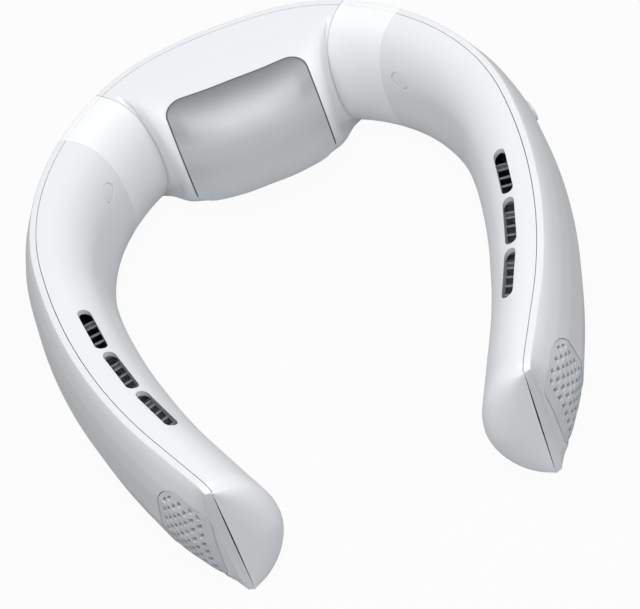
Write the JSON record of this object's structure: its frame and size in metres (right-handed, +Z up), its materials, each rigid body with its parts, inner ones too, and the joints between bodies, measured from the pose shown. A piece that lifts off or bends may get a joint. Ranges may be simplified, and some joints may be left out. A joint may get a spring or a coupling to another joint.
{
  "type": "neck fan",
  "caption": "Horseshoe electric neck fan with two hinged arms, a cooling plate at the nape, air slots along the arms, tip blowers, keys and a charging port.",
  "frame": {"origin": "centre of the bounding box at the level of the lower rim, which lies on a table", "axes": "+Z up from the lower rim to the air slots; -Y to the open front between the two tips; +X to the wearer's side with the two keys"},
  "size_m": [0.1867, 0.2073, 0.055],
  "materials": {
    "white_shell": "satin gloss",
    "cold_metal": "fine satin",
    "dark_seal": "matte",
    "ceramic_tile": "matte",
    "raw_aluminium": "as extruded",
    "dark_plastic": "fine texture",
    "circuit_board": "solder mask",
    "steel_screw": "bright",
    "bracket_steel": "zinc plated",
    "soft_sleeve": "smooth silicone",
    "light_grille": "satin",
    "soft_plug": "matte",
    "cell_wrap": "shrink film",
    "key_plastic": "satin",
    "clear_lens": "clear",
    "slot_grey": "fine texture",
    "impeller_plastic": "moulded"
  },
  "bodies": {
    "back": {"center_inner_shell": "white_shell", "center_outer_shell": "white_shell", "cooling_plate": "cold_metal", "plate_gasket": "dark_seal", "peltier_tile": "ceramic_tile", "heat_sink": "raw_aluminium", "cooling_fan_frame": "dark_plastic", "center_circuit_board": "circuit_board", "center_screws": "steel_screw", "left_center_bracket": "bracket_steel", "right_center_bracket": "bracket_steel", "left_hinge_pin": "steel_screw", "right_hinge_pin": "steel_screw", "left_sleeve": "soft_sleeve", "right_sleeve": "soft_sleeve"},
    "left_arm": {"left_arm_bracket": "bracket_steel", "left_arm_inner_shell": "white_shell", "left_arm_outer_shell": "white_shell", "left_grille": "light_grille", "left_screw_plug": "soft_plug", "left_arm_screw": "steel_screw", "left_battery": "cell_wrap", "left_battery_cradle": "dark_plastic", "left_circuit_board": "circuit_board", "left_air_vanes": "slot_grey", "left_blower_housing": "dark_plastic", "left_blower_cover": "dark_plastic", "left_blower_motor": "bracket_steel", "usb_port": "steel_screw"},
    "right_arm": {"right_arm_bracket": "bracket_steel", "right_arm_inner_shell": "white_shell", "right_arm_outer_shell": "white_shell", "right_grille": "light_grille", "right_screw_plug": "soft_plug", "right_arm_screw": "steel_screw", "right_battery": "cell_wrap", "right_battery_cradle": "dark_plastic", "right_circuit_board": "circuit_board", "right_air_vanes": "slot_grey", "right_blower_housing": "dark_plastic", "right_blower_cover": "dark_plastic", "right_blower_motor": "bracket_steel", "button_domes": "steel_screw", "indicator_lens": "clear_lens"},
    "cooling_fan": {"cooling_fan_rotor": "dark_plastic"},
    "left_blower_wheel": {"left_impeller": "impeller_plastic"},
    "right_blower_wheel": {"right_impeller": "impeller_plastic"},
    "power_key": {"power_button": "key_plastic"},
    "mode_key": {"mode_button": "key_plastic"}
  },
  "joints": [
    {"name": "right_arm_hinge", "type": "hinge", "parent": "back", "child": "right_arm", "pos_m": [0.05005, 0.07233, 0.0275], "axis": [0, 0, 1], "range_deg": [0, 12], "deforming": ["right_sleeve"]},
    {"name": "left_arm_hinge", "type": "hinge", "parent": "back", "child": "left_arm", "pos_m": [-0.05005, 0.07233, 0.0275], "axis": [0, 0, -1], "range_deg": [0, 12], "deforming": ["left_sleeve"]},
    {"name": "right_blower_spin", "type": "hinge", "parent": "right_arm", "child": "right_blower_wheel", "pos_m": [0.05699, -0.07818, 0.027], "axis": [0.9048, -0.4258, 0], "continuous": true},
    {"name": "left_blower_spin", "type": "hinge", "parent": "left_arm", "child": "left_blower_wheel", "pos_m": [-0.05699, -0.07818, 0.027], "axis": [-0.9048, -0.4258, 0], "continuous": true},
    {"name": "cooling_fan_spin", "type": "hinge", "parent": "back", "child": "cooling_fan", "pos_m": [0, 0.082, 0.0275], "axis": [0, 1, 0], "continuous": true},
    {"name": "power_press", "type": "slide", "parent": "right_arm", "child": "power_key", "axis": [-0.9705, -0.2409, 0], "range_m": [0, 0.0008], "stiffness_N_per_m": 400, "springref_m": -0.0008},
    {"name": "mode_press", "type": "slide", "parent": "right_arm", "child": "mode_key", "axis": [-0.9705, -0.2409, 0], "range_m": [0, 0.0008], "stiffness_N_per_m": 400, "springref_m": -0.0008}
  ]
}
